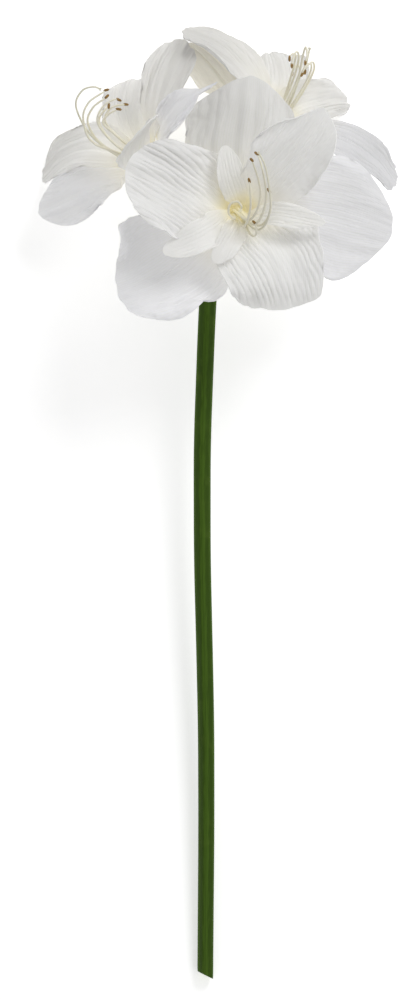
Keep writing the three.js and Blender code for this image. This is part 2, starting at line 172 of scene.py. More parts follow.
def stem_mesh():
    rings = stem_rings()
    points, flesh, around = [], [], []
    for place, middle, radius, cut, slope in rings:
        for side in range(STEM_SIDES):
            angle = 2 * math.pi * side / STEM_SIDES
            reach = radius
            if not cut:
                flat = STEM_FLAT_SIDES * angle + STEM_FLAT_TWIST * place
                reach += STEM_FLAT_DEPTH * (math.cos(flat) - 1)
            sideways = reach * math.sin(angle)
            points.append(in_frame((
                middle + sideways,
                -place - slope * STEM_CUT_SLOPE * sideways,
                stem_rise(place) + reach * math.cos(angle),
            )))
            flesh.append(cut)
            around.append(side / STEM_SIDES)
    hollow_place, hollow_middle = rings[0][:2]
    points.append(in_frame((hollow_middle, -hollow_place, stem_rise(hollow_place))))
    points.append(in_frame((0, KNUCKLE_RADIUS, KNUCKLE_HEIGHT)))
    flesh += [1, 0]
    around += [0, 0]
    faces = ring_faces(len(rings), STEM_SIDES)
    return mesh_of("stem", points, faces, {"flesh": flesh, "around": around})


def feed(socket, value):
    """Sets a socket to a value, or links it to another node's output."""
    if isinstance(value, bpy.types.NodeSocket):
        socket.id_data.links.new(value, socket)
    else:
        socket.default_value = value


def feed_all(made, inputs):
    for key, value in inputs.items():
        feed(made.inputs[key], value)


def node(tree, kind, inputs=None, **settings):
    """A node with its settings and inputs. An input is a value or another node's output."""
    made = tree.nodes.new(kind)
    for key, value in settings.items():
        setattr(made, key, value)
    feed_all(made, inputs or {})
    return made


def tree_of(*values):
    """The node tree that holds the first of the values that is a node's output."""
    return next(value.id_data for value in values if isinstance(value, bpy.types.NodeSocket))


def maths(operation, *values):
    given = dict(enumerate(values))
    return node(tree_of(*values), "ShaderNodeMath", given, operation=operation).outputs[0]


def times(first, second):
    return maths("MULTIPLY", first, second)


def plus(first, second):
    return maths("ADD", first, second)


def centred(value):
    """A noise from 0 to 1, moved to lie evenly about 0."""
    return maths("SUBTRACT", value, 0.5)


def ramp(value, low, high, to_low=0.0, to_high=1.0):
    """The value turned from the range low to high into another range, smoothly."""
    given = {"Value": value, "From Min": low, "From Max": high, "To Min": to_low, "To Max": to_high}
    made = node(value.id_data, "ShaderNodeMapRange", given, interpolation_type="SMOOTHSTEP")
    return made.outputs["Result"]


def mix(share, first, second, blend="MIX"):
    tree = tree_of(share, first, second)
    given = {0: share, 6: first, 7: second}
    return node(tree, "ShaderNodeMix", given, data_type="RGBA", blend_type=blend).outputs[2]


def speckle(place, scale, detail=2.0, stretch=(1, 1, 1)):
    """Noise that changes over one part in scale of a metre, from 0 to 1."""
    tree = place.id_data
    spread = node(tree, "ShaderNodeVectorMath", {0: place, 1: stretch}, operation="MULTIPLY")
    given = {"Vector": spread.outputs[0], "Scale": scale, "Detail": detail}
    return node(tree, "ShaderNodeTexNoise", given).outputs[0]


def attribute(tree, name):
    return node(tree, "ShaderNodeAttribute", attribute_name=name).outputs["Fac"]


def object_place(tree):
    return node(tree, "ShaderNodeTexCoord").outputs["Object"]


def new_material(name):
    """A material and its shader."""
    material = bpy.data.materials.new(name)
    material.use_nodes = True
    return material, material.node_tree, material.node_tree.nodes["Principled BSDF"]


MOTTLE_SIZE = 60


def plant_grain():
    """The fine grain of a plant's skin: lines along it, small cells, and broad mottling."""
    group = bpy.data.node_groups.new("Plant grain", "ShaderNodeTree")
    for name, kind in (("Place", "Vector"), ("Line size", "Float"), ("Cell size", "Float")):
        group.interface.new_socket(name, in_out="INPUT", socket_type="NodeSocket" + kind)
    for name in ("Lines", "Cells", "Mottle"):
        group.interface.new_socket(name, in_out="OUTPUT", socket_type="NodeSocketFloat")
    given = group.nodes.new("NodeGroupInput").outputs
    put_out = group.nodes.new("NodeGroupOutput").inputs
    feed(put_out["Lines"], speckle(given["Place"], given["Line size"], 3, (1, 0.035, 1)))
    feed(put_out["Cells"], speckle(given["Place"], given["Cell size"], 2, (1, 0.4, 1)))
    feed(put_out["Mottle"], speckle(given["Place"], MOTTLE_SIZE, 3))
    return group


PLANT_GRAIN = plant_grain()


def grain_node(tree, lines, cells):
    """The grain of one material. Lines and cells are finer with greater numbers."""
    sizes = {"Place": object_place(tree), "Line size": lines, "Cell size": cells}
    return node(tree, "ShaderNodeGroup", sizes, node_tree=PLANT_GRAIN).outputs


def bump(shader, height, depth):
    given = {"Height": height, "Distance": depth, "Strength": 1.0}
    made = node(shader.id_data, "ShaderNodeBump", given)
    feed(shader.inputs["Normal"], made.outputs["Normal"])


def stem_material():
    material, tree, shader = new_material("Waxy stem green")
    grain = grain_node(tree, 900, 2600)
    around = attribute(tree, "around")
    # Painted highlight and shade: five bands round the stem, lightest facing straight up and darker between
    # them, added to the real fine lines of the grain.
    painted_bands = maths("COSINE", times(around, 2 * math.pi * STEM_FLAT_SIDES))
    shade = plus(times(painted_bands, STEM_PAINTED_BAND_CONTRAST), grain["Lines"])
    skin = mix(ramp(shade, 0.3, 0.75), STEM_DARK_GREEN, STEM_GREEN)
    skin = mix(ramp(grain["Mottle"], 0.55, 0.8, 0, 0.35), skin, STEM_PALE_GREEN)
    flesh = mix(ramp(grain["Cells"], 0.3, 0.7), CUT_FLESH, CUT_FLESH_DARK)
    feed_all(shader, {
        "Base Color": mix(attribute(tree, "flesh"), skin, flesh),
        "Roughness": ramp(grain["Mottle"], 0.3, 0.7, 0.45, 0.6),
        "Specular IOR Level": 0.12})
    bump(shader, plus(grain["Lines"], grain["Cells"]), 0.12 * MM)
    return material


def placed(name, data):
    """A new object at the origin that holds a mesh, a light or a camera."""
    thing = bpy.data.objects.new(name, data)
    bpy.context.scene.collection.objects.link(thing)
    return thing


def finished(name, mesh, materials, stands_for):
    """A finished piece in the scene, riding on the plant and standing for its node."""
    piece = placed(name, outwards(mesh))
    for material in materials:
        piece.data.materials.append(material)
    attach(piece, "root")
    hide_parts(stands_for)
    return piece


finished("stem_skin", stem_mesh(), [stem_material()], "stem")


# Bracts
# Two dry papery leaves that wrapped the buds and split open. They are thin, tan and ribbed,
# and grow from the knuckle: one is bent back along the stem, one hangs under the stalks.
GAP = 0.3
SHEET_ROWS = 13
SHEET_COLUMNS = 25
SHEET_BASE_WIDTH = {"outer": 9.6, "inner": 7.8, "small": 3.2, "bract": 7}
SHEET_LEAN = {"outer": 4.6, "inner": 1.6, "small": 0.6, "bract": 1.5}
SHEET_SEAT = {"small": 6.1, "inner": 7.9, "outer": 9.7, "bract": 7.3}
SHEET_START = {"outer": -0.8, "inner": -0.8, "small": -0.8, "bract": 0.6}
SHEET_RISE = 5
RUFFLE_WAVES = 1.6
RUFFLE_SHIFT = 0.13
OUTLINE_WAVES = 7
OUTLINE_WOBBLE = 0.09
BRACT_SHAPE = dict(
    mouth=(0, -5, KNUCKLE_HEIGHT), ring="bract", left=[8, 7, 2], right=[8, 7, 2], cup=[0.9, 0.6],
    roll=0, round=0.3, point=0.3, ruffle=0.5)
BRACTS = {
    "bract_upper": dict(
        BRACT_SHAPE, forward=(0, -1, 0), seat=270, midrib=[(0, -18, 57), (1, -31, 59), (3, -44, 56)]),
    "bract_lower": dict(
        BRACT_SHAPE, forward=(0, 1, 0), seat=90, midrib=[(0, 12, 32), (-2, 27, 27), (-5, 41, 19)]),
}
BRACT_THICKNESS = 0.5
BRACT_VEINS = 40.0
BRACT_TAN = (0.42, 0.31, 0.15, 1)
BRACT_BROWN = (0.2, 0.12, 0.05, 1)


class SmoothPath:
    """A smooth curve through a few points, read at a share of its length."""

    def __init__(self, points, steps=300):
        p = np.array(points, float)
        p = np.vstack([2 * p[0] - p[1], p, 2 * p[-1] - p[-2]])
        spans = len(p) - 3
        t = np.linspace(0, spans, steps + 1)
        k = np.minimum(t.astype(int), spans - 1)
        f = (t - k)[:, None]
        a, b, c, d = p[k], p[k + 1], p[k + 2], p[k + 3]
        self.points = b + 0.5 * f * (c - a + f * (2 * a - 5 * b + 4 * c - d + f * (3 * (b - c) + d - a)))
        lengths = np.linalg.norm(np.diff(self.points, axis=0), axis=1)
        self.length = lengths.sum()
        self.shares = np.concatenate([[0], np.cumsum(lengths)]) / self.length

    def place(self, share):
        return Vector([np.interp(share, self.shares, self.points[:, axis]) for axis in range(3)])

    def direction(self, share):
        step = 1e-3
        return (self.place(min(share + step, 1)) - self.place(max(share - step, 0))).normalized()


def value_along(values, share):
    """The value at a share of a list of evenly spaced ones, on a smooth curve."""
    place = share * (len(values) - 1)
    k = min(int(place), len(values) - 2)
    t = place - k
    a, b, c, d = (values[1 if i < 0 else min(i, len(values) - 1)] for i in range(k - 1, k + 3))
    return b + 0.5 * t * (c - a + t * (2 * a - 5 * b + 4 * c - d + t * (3 * (b - c) + d - a)))


def smooth_step(value, low, high):
    t = min(max((value - low) / (high - low), 0), 1)
    return t * t * (3 - 2 * t)


class Mouth:
    """The place and directions that a flower's parts are counted from, with seats round it."""

    def __init__(self, mouth, forward):
        self.mouth = Vector(mouth)
        self.forward = Vector(forward).normalized()
        self.across = self.forward.cross(Vector((0, 0, 1))).normalized()
        self.beyond = self.forward.cross(self.across)

    def seat(self, degrees):
        angle = math.radians(degrees)
        return self.across * math.cos(angle) + self.beyond * math.sin(angle)

    def point(self, degrees, forward, spread):
        return self.mouth + self.seat(degrees) * spread + self.forward * forward


def sheet_point(mouth, sheet, path, along, across):
    """A point of a petal or bract in millimetres, and how far along and across it lies."""
    wander = noise.noise(Vector((OUTLINE_WAVES * along, across, sheet["seat"])))
    tip_wander = noise.noise(Vector((0, OUTLINE_WAVES / 2 * across, sheet["seat"])))
    side_reach = sheet["round"] * (1 - math.sqrt(max(1 - across * across, 0))) + sheet["point"] * abs(across)
    share = along * (1 - side_reach - OUTLINE_WOBBLE / 2 * max(tip_wander, 0))
    centre = path.place(share)
    heading = path.direction(share)
    from_axis = centre - mouth.mouth
    from_axis = (from_axis - mouth.forward * from_axis.dot(mouth.forward)).normalized()
    face = mouth.forward - from_axis
    face = (face - heading * face.dot(heading)).normalized()
    turn = math.radians(sheet["roll"]) * smooth_step(share, 0.1, 0.7)
    sideways = heading.cross(face)
    face, sideways = (face * math.cos(turn) + heading.cross(face) * math.sin(turn),
                      sideways * math.cos(turn) + heading.cross(sideways) * math.sin(turn))
    base = SHEET_BASE_WIDTH[sheet["ring"]]
    width = value_along([base] + sheet["left" if across < 0 else "right"], share)
    width *= 1 + OUTLINE_WOBBLE * wander * abs(across)
    middle, tip = sheet["cup"]
    cup = value_along([base / SHEET_SEAT[sheet["ring"]], middle, middle, tip], share) or 1e-3
    angle = cup * across
    phase = RUFFLE_WAVES * along + RUFFLE_SHIFT * sheet["seat"] * (1 if across > 0 else -1)
    wave = sheet["ruffle"] * abs(across) ** 2.5 * math.sin(2 * math.pi * phase)
    wave *= smooth_step(share, 0.2, 0.6)
    normal = face * math.cos(angle) - sideways * math.sin(angle)
    surface = centre + sideways * (width * math.sin(angle) / cup)
    surface += face * (width * (1 - math.cos(angle)) / cup)
    return surface + normal * wave, share, width * across


def sheet_cage(name, mouth, sheet):
    """A coarse open grid of a petal or bract, whose points know how far along and across they lie."""
    ring, seat = sheet["ring"], sheet["seat"]
    base = mouth.point(seat, SHEET_START[ring], SHEET_SEAT[ring])
    lip = mouth.point(seat, SHEET_RISE, SHEET_SEAT[ring] + SHEET_LEAN[ring])
    path = SmoothPath([base, lip] + sheet["midrib"])
    points, along, across, beside = [], [], [], []
    for row in range(SHEET_ROWS):
        for column in range(SHEET_COLUMNS):
            t = 2 * column / (SHEET_COLUMNS - 1) - 1
            v = t * (1.5 - 0.5 * t * t)
            point, share, reach = sheet_point(mouth, sheet, path, row / (SHEET_ROWS - 1), v)
            points.append(in_frame(point))
            along.append(share)
            across.append(v)
            beside.append(reach * MM)
    faces = []
    for row in range(SHEET_ROWS - 1):
        for column in range(SHEET_COLUMNS - 1):
            corner = row * SHEET_COLUMNS + column
            faces.append((corner, corner + 1, corner + 1 + SHEET_COLUMNS, corner + SHEET_COLUMNS))
    values = {"along": along, "across": across, "beside": beside}
    # A sheet's shade is painted shade or light over the whole of it, and glow is painted light at its base.
    for key in ("shade", "glow", "gold"):
        values[key] = [sheet.get(key, 0.0)] * len(points)
    return placed(name, mesh_of(name, points, faces, values))


def geometry_tree(name, inputs):
    """An empty geometry tree with named inputs. Gives the tree, its inputs and its output."""
    tree = bpy.data.node_groups.new(name, "GeometryNodeTree")
    for label, kind in [("Geometry", "Geometry")] + inputs:
        tree.interface.new_socket(label, in_out="INPUT", socket_type="NodeSocket" + kind)
    tree.interface.new_socket("Geometry", in_out="OUTPUT", socket_type="NodeSocketGeometry")
    given = tree.nodes.new("NodeGroupInput").outputs
    return tree, given, tree.nodes.new("NodeGroupOutput").inputs["Geometry"]


def scaled(vector, scale):
    given = {0: vector, "Scale": scale}
    return node(vector.id_data, "ShaderNodeVectorMath", given, operation="SCALE").outputs[0]


def named(tree, name):
    kind = "GeometryNodeInputNamedAttribute"
    return node(tree, kind, {"Name": name}, data_type="FLOAT").outputs["Attribute"]


def drift(vector, seed, scale, detail):
    """Noise from 0 to 1 that differs with the seed."""
    given = {"Vector": vector, "W": seed, "Scale": scale, "Detail": detail}
    return node(vector.id_data, "ShaderNodeTexNoise", given, noise_dimensions="4D").outputs[0]


def moved(geometry, offset):
    given = {"Geometry": geometry, "Offset": offset}
    return node(geometry.id_data, "GeometryNodeSetPosition", given).outputs[0]


def put_out_solid(put_out, geometry, material):
    """Ends a tree: real geometry with its material."""
    tree = geometry.id_data
    whole = node(tree, "GeometryNodeRealizeInstances", {"Geometry": geometry}).outputs[0]
    given = {"Geometry": whole, "Material": material}
    feed(put_out, node(tree, "GeometryNodeSetMaterial", given).outputs[0])


RIB_WOBBLE = 5.0
CRINKLE_SIZE = 75.0


def sheet_tree():
    """Turns a coarse grid into a living sheet: fine, ribbed along its length, crinkled, and thick."""
    tree, given, put_out = geometry_tree("Ribbed sheet", [
        ("Fineness", "Int"), ("Rib spacing", "Float"), ("Rib slant", "Float"), ("Rib height", "Float"),
        ("Fold height", "Float"), ("Crinkle height", "Float"), ("Keel depth", "Float"),
        ("Thickness", "Float"), ("Seed", "Float"), ("Material", "Material")])
    seed = given["Seed"]
    fine = node(tree, "GeometryNodeSubdivisionSurface",
                {"Mesh": given["Geometry"], "Level": given["Fineness"]}).outputs[0]
    along, across = named(tree, "along"), named(tree, "across")
    edge = maths("ABSOLUTE", across)
    place = node(tree, "GeometryNodeInputPosition").outputs[0]
    long_place = node(tree, "ShaderNodeCombineXYZ", {"X": across, "Y": times(along, 0.35)}).outputs[0]
    fan_place = node(tree, "ShaderNodeCombineXYZ", {"X": across, "Y": along}).outputs[0]

    # Ribs fan out from the base, wander a little, and fade at the base, the tip and the edges.
    wobble = times(centred(drift(fan_place, seed, 3.0, 1.0)), RIB_WOBBLE)
    slant = times(along, given["Rib slant"])
    beside = maths("SUBTRACT", named(tree, "beside"), slant)
    phase = times(maths("DIVIDE", beside, given["Rib spacing"]), math.pi)
    wave = maths("ABSOLUTE", maths("SINE", plus(phase, wobble)))
    crest = maths("SUBTRACT", maths("POWER", wave, 0.8), 0.6)
    patchy = ramp(drift(fan_place, seed, 2.2, 1.0), 0.3, 0.65, 0.15, 1.0)
    reach = times(ramp(along, 0.06, 0.4), ramp(along, 1.0, 0.85))
    reach = times(reach, ramp(edge, 1.0, 0.85))
    ribs = times(times(crest, given["Rib height"]), times(reach, patchy))

    # Broad folds, a keel along the midrib, and a crinkle that grows towards the edges.
    folds = times(centred(drift(long_place, seed, 3.2, 1.0)), given["Fold height"])
    folds = times(folds, ramp(along, 0.1, 0.5))
    keel = times(times(ramp(edge, 0.16, 0.0), given["Keel depth"]),
                 times(ramp(along, 0.02, 0.2), ramp(along, 1.0, 0.6)))
    loose = plus(0.25, maths("POWER", edge, 2.0))
    crinkle = times(centred(drift(place, seed, CRINKLE_SIZE, 2.0)), given["Crinkle height"])
    crinkle = times(crinkle, times(loose, ramp(along, 0.05, 0.4)))
    lift = maths("SUBTRACT", plus(plus(ribs, folds), crinkle), keel)
    normal = node(tree, "GeometryNodeInputNormal").outputs[0]
    shaped = moved(fine, scaled(normal, lift))

    # A front and a back, thinner towards the edges and the tip.
    thin = times(ramp(edge, 1.0, 0.6, 0.7, 1.0), ramp(along, 1.0, 0.5, 0.75, 1.0))
    thick = times(given["Thickness"], thin)
    back = moved(shaped, scaled(normal, times(thick, -0.5)))
    front = node(tree, "GeometryNodeExtrudeMesh",
                 {"Mesh": back, "Offset": normal, "Offset Scale": thick, "Individual": False},
                 mode="FACES")
    turned = node(tree, "GeometryNodeFlipFaces", {"Mesh": back})
    marked = node(tree, "GeometryNodeStoreNamedAttribute",
                  {"Geometry": turned.outputs[0], "Name": "back", "Value": 1.0},
                  data_type="FLOAT", domain="POINT")
    both = node(tree, "GeometryNodeJoinGeometry")
    tree.links.new(marked.outputs[0], both.inputs[0])
    tree.links.new(front.outputs["Mesh"], both.inputs[0])
    closed = node(tree, "GeometryNodeMergeByDistance", {"Geometry": both.outputs[0], "Distance": 1e-6})
    put_out_solid(put_out, closed.outputs[0], given["Material"])
    return tree


def grown(tree, guide, values):
    """The mesh that a geometry tree makes from a guide object. The guide is removed."""
    modifier = guide.modifiers.new("Growth", "NODES")
    modifier.node_group = tree
    for socket in tree.interface.items_tree:
        if socket.in_out == "INPUT" and socket.name in values:
            modifier[socket.identifier] = values[socket.name]
    graph = bpy.context.evaluated_depsgraph_get()
    mesh = bpy.data.meshes.new_from_object(guide.evaluated_get(graph))
    bpy.data.objects.remove(guide)
    return mesh


SHEET_TREE = sheet_tree()


def bract_material():
    material, tree, shader = new_material("Dry papery bract")
    along, across = attribute(tree, "along"), attribute(tree, "across")
    grain = grain_node(tree, 500, 1800)
    veins = maths("ABSOLUTE", maths("SINE", times(across, BRACT_VEINS)))
    colour = mix(ramp(grain["Mottle"], 0.35, 0.7), BRACT_TAN, BRACT_BROWN)
    colour = mix(ramp(veins, 0.35, 0.0, 0, 0.5), colour, BRACT_BROWN)
    colour = mix(ramp(along, 0.7, 1.0, 0, 0.6), colour, BRACT_BROWN)
    feed_all(shader, {"Base Color": colour, "Roughness": 0.8})
    bump(shader, plus(veins, grain["Cells"]), 0.15 * MM)
    return material


BRACT_FINISH = bract_material()
for number, (name, bract) in enumerate(BRACTS.items()):
    cage = sheet_cage(name, Mouth(bract["mouth"], bract["forward"]), bract)
    mesh = grown(SHEET_TREE, cage, {
        "Fineness": 2, "Rib spacing": 1.6 * MM, "Rib slant": 0.0, "Rib height": 0.25 * MM,
        "Fold height": 2.0 * MM, "Crinkle height": 1.6 * MM, "Keel depth": 0.0,
        "Thickness": BRACT_THICKNESS * MM, "Seed": 50.0 + number, "Material": BRACT_FINISH})
    finished(name + "_paper", mesh, [], name)


# Stalks, ovaries and tubes
# Each flower's stalk, three-sided green ovary and short tube are one piece that grows from the
# knuckle. The tube opens in six low lobes, where the petals are joined to it.
STALK_RADIUS = 3.1
OVARY_RADIUS = 5.4
THROAT_DEPTH = 11
RIM_RADIUS = 10.6
STALK_SUNK = 0.6
TUBE_LENGTH = 14
TUBE_SIDES = 60
STALK_PROFILE = [(0, 1.05), (0.2, 0.97), (0.42, 1.0)]
OVARY_PROFILE = [(0.5, 0.78), (0.58, 0.94), (0.72, 1.04), (0.82, 0.92), (0.88, 0.86), (1, 1.0)]
FLARE_PROFILE = [(11, 0.68), (9, 0.77), (6, 0.88), (3, 0.96), (1, 0.995), (0.3, 0.985), (0, 0.95)]
THROAT_PROFILE = [(0, 0.72), (0.1, 0.6), (0.6, 0.53), (2, 0.49), (6, 0.47), (THROAT_DEPTH, 0.44)]
STALK_GREEN = (0.2, 0.26, 0.08, 1)
OVARY_GREEN = (0.34, 0.4, 0.16, 1)
TUBE_CREAM = (0.72, 0.7, 0.5, 1)
BLACK = (0, 0, 0, 1)
THROAT_YELLOW = (0.9, 0.82, 0.55, 1)
# Painted light: the throat, the petal bases and the filament bases glow with this emission strength,
# standing in for light that comes through thin tissue.
THROAT_GLOW = 0.18
FLOWERS = {
    "front": dict(mouth=(17, 2, 84), forward=(0.25, 0.12, 1)),
    "left": dict(mouth=(-43, 36, 62), forward=(-0.725, 0.544, 0.42)),
    "right": dict(mouth=(38, 57, 52), forward=(0.579, 0.74, 0.342)),
}


def tube_mesh(name, mouth):
    """Rings whose stage runs from 0 at the knuckle, past 1 at the neck, to 2 in the throat."""
    start_from = Vector((0, 0, KNUCKLE_HEIGHT))
    neck = mouth.mouth - mouth.forward * TUBE_LENGTH
    to_neck = (neck - start_from).normalized()
    start = start_from + to_neck * (KNUCKLE_RADIUS - STALK_SUNK)
    path = SmoothPath([start, start + to_neck * (neck - start).length * 0.5, neck, mouth.mouth])
    neck_share = 1 - TUBE_LENGTH / path.length
    rings = []
    below_neck = ((STALK_PROFILE, STALK_RADIUS, 0.0, 6), (OVARY_PROFILE, OVARY_RADIUS, 0.1, 3))
    for profile, radius, lobe, lobes in below_neck:
        for share, size in profile:
            at = share * neck_share
            rings.append((path.place(at), path.direction(at), radius * size, lobe, lobes, share))
    for profile, lobe in ((FLARE_PROFILE, 0.035), (THROAT_PROFILE, 0.02)):
        for depth, size in profile:
            centre = mouth.mouth - mouth.forward * depth
            stage = 2 if profile is THROAT_PROFILE else 1.5 - depth / 22
            rings.append((centre, mouth.forward, RIM_RADIUS * size, lobe, 6, stage))
    points, stages = [], []
    for centre, heading, radius, lobe, lobes, at in rings:
        across = (mouth.across - heading * mouth.across.dot(heading)).normalized()
        beyond = heading.cross(across)
        for side in range(TUBE_SIDES):
            angle = 2 * math.pi * side / TUBE_SIDES
            reach = radius * (1 + lobe * (math.cos(lobes * angle) - 0.5))
            sideways = across * reach * math.cos(angle)
            points.append(in_frame(centre + sideways + beyond * reach * math.sin(angle)))
            stages.append(at)
    points += [in_frame(start), in_frame(mouth.mouth - mouth.forward * THROAT_DEPTH)]
    stages += [0, 2]
    return mesh_of(name, points, ring_faces(len(rings), TUBE_SIDES), {"stage": stages})


def glow(share, colour):
    """Emission inputs of a shader: painted light, a glow standing in for light that comes through thin
    tissue.
    """
    return {"Emission Color": mix(share, BLACK, colour), "Emission Strength": THROAT_GLOW}


def tube_material():
    material, tree, shader = new_material("Green stalk to cream tube")
    stage = attribute(tree, "stage")
    grain = grain_node(tree, 700, 2200)
    colour = mix(ramp(stage, 0.35, 0.6), STALK_GREEN, OVARY_GREEN)
    colour = mix(ramp(stage, 0.9, 1.4), colour, TUBE_CREAM)
    colour = mix(ramp(stage, 1.6, 2.0), colour, THROAT_YELLOW)
    colour = mix(ramp(grain["Lines"], 0.4, 0.7, 0.0, 0.3), colour, OVARY_GREEN)
    # Painted light: the throat glows yellow.
    feed_all(shader, glow(ramp(stage, 1.6, 2.0), colour) | {
        "Base Color": colour,
        "Roughness": ramp(grain["Mottle"], 0.3, 0.7, 0.4, 0.55),
        "Subsurface Weight": 0.15,
        "Subsurface Radius": (0.003, 0.003, 0.0015)})
    bump(shader, plus(grain["Lines"], grain["Cells"]), 0.1 * MM)
    return material


def smoothed(mesh, levels):
    """The mesh after rounds of smooth subdivision."""
    guide = placed("rounding", mesh)
    modifier = guide.modifiers.new("Rounding", "SUBSURF")
    modifier.levels = modifier.render_levels = levels
    graph = bpy.context.evaluated_depsgraph_get()
    result = bpy.data.meshes.new_from_object(guide.evaluated_get(graph))
    bpy.data.objects.remove(guide)
    return result


TUBE_FINISH = tube_material()
for name, flower in FLOWERS.items():
    flower["at"] = Mouth(flower["mouth"], flower["forward"])
    mesh = smoothed(tube_mesh(name + "_tube", flower["at"]), 1)
    finished(name + "_stalk", mesh, [TUBE_FINISH], name + "_stalk_and_tube")


# Petals
# Six broad petals on each flower, in an inner and an outer ring of three, and four small extra
# ones in the front flower. They are soft and white, ribbed along their length, with wavy edges
# and a yellow-green tint where they join the tube.
# Half widths to the left and right of the midrib are seen from inside the flower, tip up, at a
# third, two thirds and the whole of its length. cup is the angle by which the edges rise, halfway
# and at the tip, and roll turns the face, in degrees. round and point shorten the sides, for a
# round or a pointed tip.
PETAL_THICKNESS = 1.1
# glow is painted light: an emission from a petal's base, strongest on the small petals.
SMALL_PETAL = dict(ring="small", cup=[0.2, 0.1], ruffle=1, tone="cream", glow=0.6, keel=0.3)
PETAL_DEFAULTS = dict(
    roll=0, round=0.3, point=0, ruffle=2, tone="warm", ribs=0.8, spacing=2.6, slant=0, keel=0.7,
    glow=0.0, gold=0.24)
# Each petal's shade number multiplies its whole colour. It is painted shade below 1 and painted light above
# 1, standing in for how the light falls on that petal.
PETALS = {}
PETALS["front"] = {
    "lower_right": dict(
        seat=0, ring="inner", midrib=[(28, -17, 108), (38, -33, 121), (44, -50, 125), (46, -67, 118)],
        left=[44, 38, 29], right=[30, 34, 26], cup=[0.2, -0.1], roll=10, round=0.12, ruffle=3,
        tone="white", ribs=2.6, shade=0.89, spacing=3.8, gold=0.16, glow=0.2, slant=-14),
    "right": dict(
        seat=60, ring="outer", midrib=[(50, 5, 97), (78, 2, 98), (104, -4, 95), (126, -11, 89)],
        left=[36, 39, 22], right=[30, 46, 35], cup=[0.1, -0.1], round=0.35, ruffle=4.5,
        tone="bluish", ribs=0.5, shade=0.76, gold=0.14, glow=0.2, spacing=3.4),
    "upper_right": dict(
        seat=120, ring="inner", midrib=[(36, 24, 109), (52, 42, 123), (66, 58, 130), (77, 75, 134)],
        left=[18, 25, 13], right=[25, 29, 34], cup=[0.5, 0.3], round=0.25, point=0.12, ruffle=4,
        tone="white", ribs=0.6, shade=0.93, gold=0.18, glow=0.2),
    "top": dict(
        seat=180, ring="outer", midrib=[(19, 32, 94), (21, 54, 103), (24, 77, 109), (26, 98, 110)],
        left=[43, 41, 29], right=[29, 45, 34], cup=[-0.9, -1.1], roll=-6, round=0.32, point=0.08,
        ruffle=4, tone="white", ribs=1.1, shade=0.77, keel=-2.5, gold=0.28, glow=0.2, spacing=7),
    "left": dict(
        seat=240, ring="inner", midrib=[(-5, 10, 113), (-24, 20, 127), (-44, 28, 134), (-60, 34, 134)],
        left=[33, 39, 29], right=[32, 29, 30], cup=[0.35, 0.1], ruffle=3,
        tone="white", ribs=2.6, slant=16, shade=0.88, spacing=3.8, gold=0.3, glow=0.2),
    "lower_left": dict(
        seat=300, ring="outer", midrib=[(-6, -17, 97), (-24, -32, 107), (-45, -46, 112), (-67, -55, 108)],
        left=[37, 36, 27], right=[34, 46, 38], cup=[0.4, 0.3], round=0.24, ruffle=4.5,
        tone="bluish", ribs=0.5, shade=0.94, spacing=3.0, gold=0.24, glow=0.2),
    "small_right": dict(
        SMALL_PETAL, seat=30, midrib=[(43, 1, 118), (62, -2, 125), (79, -6, 127)],
        left=[7, 8, 6], right=[7, 10, 8], point=0.03, ribs=1.0, shade=1.0, gold=0.14),
    "small_top": dict(
        SMALL_PETAL, seat=150, midrib=[(13, 24, 114), (10, 37, 120), (8, 48, 121)],
        left=[9, 10, 9], right=[9, 10, 9], shade=0.9, gold=0.4),
    "small_left": dict(
        SMALL_PETAL, seat=270, midrib=[(-3, -13, 130), (-19, -21, 138), (-35, -27, 139)],
        left=[11, 11, 9], right=[11, 12, 8], round=0.25, ribs=0.5, shade=0.97, gold=0.3),
    "small_lower": dict(
        SMALL_PETAL, seat=330, midrib=[(11, -16, 121), (6, -25, 130), (0.5, -34, 132)],
        left=[10, 10.5, 9], right=[7, 7.5, 7], round=0.25, ribs=0.5, shade=0.97, gold=0.24),
}
PETALS["left"] = {
    "upper": dict(
        seat=0, ring="inner", midrib=[(-42, 60, 70), (-39, 84, 76), (-31, 106, 78), (-20, 124, 74)],
        left=[13, 16, 13], right=[14, 23, 19], cup=[0.4, 0.2], roll=40, round=0.16, point=0.02,
        shade=0.91),
    "back_upper": dict(
        seat=60, ring="outer", midrib=[(-56, 57, 50), (-62, 76, 40), (-61, 91, 21), (-58, 99, 0.1)],
        left=[17, 15, 11], right=[12, 20, 15], cup=[0.2, 0], roll=50, round=0.35, ribs=0.5, shade=0.9),
    "back_lower": dict(
        seat=120, ring="inner", midrib=[(-68, 44, 54), (-88, 48, 43), (-107, 42, 24), (-121, 28, 0.1)],
        left=[18, 19, 12], right=[20, 19, 12], cup=[0.4, 0.3], round=0.25, point=0.02,
        ribs=0.4, shade=0.92),
    "lower": dict(
        seat=180, ring="outer", midrib=[(-60, 26, 56), (-83, 20, 50), (-105, 9, 43), (-123, 2, 35)],
        left=[10, 17, 13], right=[17, 20, 17], cup=[0.2, 0], roll=-55, point=0.03,
        tone="bluish", ribs=0.7, shade=1.1, gold=0.1),
    "near_lower": dict(
        seat=240, ring="inner", midrib=[(-50, 40, 84), (-52, 49, 100), (-47, 59, 113), (-38, 70, 119)],
        left=[12, 17, 10], right=[16, 22, 14], cup=[0.4, 0.2], shade=0.9),
    "near_upper": dict(
        seat=300, ring="outer", midrib=[(-39, 50, 86), (-28, 67, 100), (-13, 83, 105), (4, 93, 101)],
        left=[20, 17, 6], right=[11, 10, 3], cup=[0.3, 0.3], roll=45, point=0.2, ruffle=1,
        tone="bluish", ribs=0.7, shade=1.07),
}
